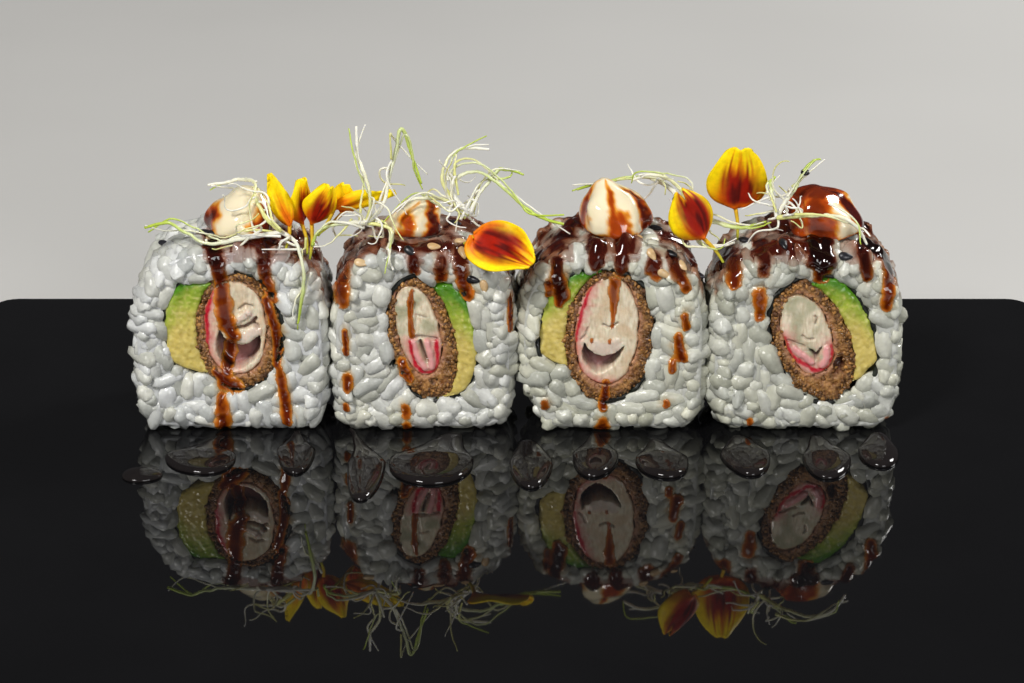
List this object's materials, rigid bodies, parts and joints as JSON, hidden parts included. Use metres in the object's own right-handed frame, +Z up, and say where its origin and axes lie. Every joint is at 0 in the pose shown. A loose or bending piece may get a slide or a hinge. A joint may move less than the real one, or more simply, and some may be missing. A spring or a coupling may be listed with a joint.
{
  "type": "uramaki roll",
  "caption": "Row of uramaki slices with crumbed crab and avocado, topped with mayo, sprouts and petals, on a plain black gloss board.",
  "frame": {"origin": "centre of the board's underside", "axes": "+X along the row of slices to the right, -Y towards the viewer who sees the cut faces, +Z up"},
  "size_m": [0.26, 0.186, 0.0753],
  "materials": {
    "board": "mirror gloss black",
    "rice": "moist, slightly glossy grains",
    "nori": "moist dark sheet",
    "crumb": "fried crumbs",
    "crab": "moist white flesh with a red skin",
    "avocado": "smooth, moist",
    "mayo": "glossy sauce",
    "petal": "velvety, yellow at the rim and dark red at the claw",
    "sprouts": "moist, pale"
  },
  "bodies": {
    "root": {"board": "board", "rice_1": "rice", "nori_1": "nori", "crumb_1": "crumb", "crab_1": "crab", "avocado_1": "avocado", "mayo_1": "mayo", "rice_2": "rice", "nori_2": "nori", "crumb_2": "crumb", "crab_2": "crab", "avocado_2": "avocado", "mayo_2": "mayo", "rice_3": "rice", "nori_3": "nori", "crumb_3": "crumb", "crab_3": "crab", "avocado_3": "avocado", "mayo_3": "mayo", "rice_4": "rice", "nori_4": "nori", "crumb_4": "crumb", "crab_4": "crab", "avocado_4": "avocado", "mayo_4": "mayo", "petal_1": "petal", "petal_2": "petal", "petal_3": "petal", "petal_4": "petal", "petal_5": "petal", "petal_6": "petal", "petal_7": "petal", "petal_8": "petal", "sprouts_1": "sprouts", "sprouts_2": "sprouts", "sprouts_3": "sprouts", "sprouts_4": "sprouts", "sprouts_5": "sprouts"}
  },
  "joints": []
}
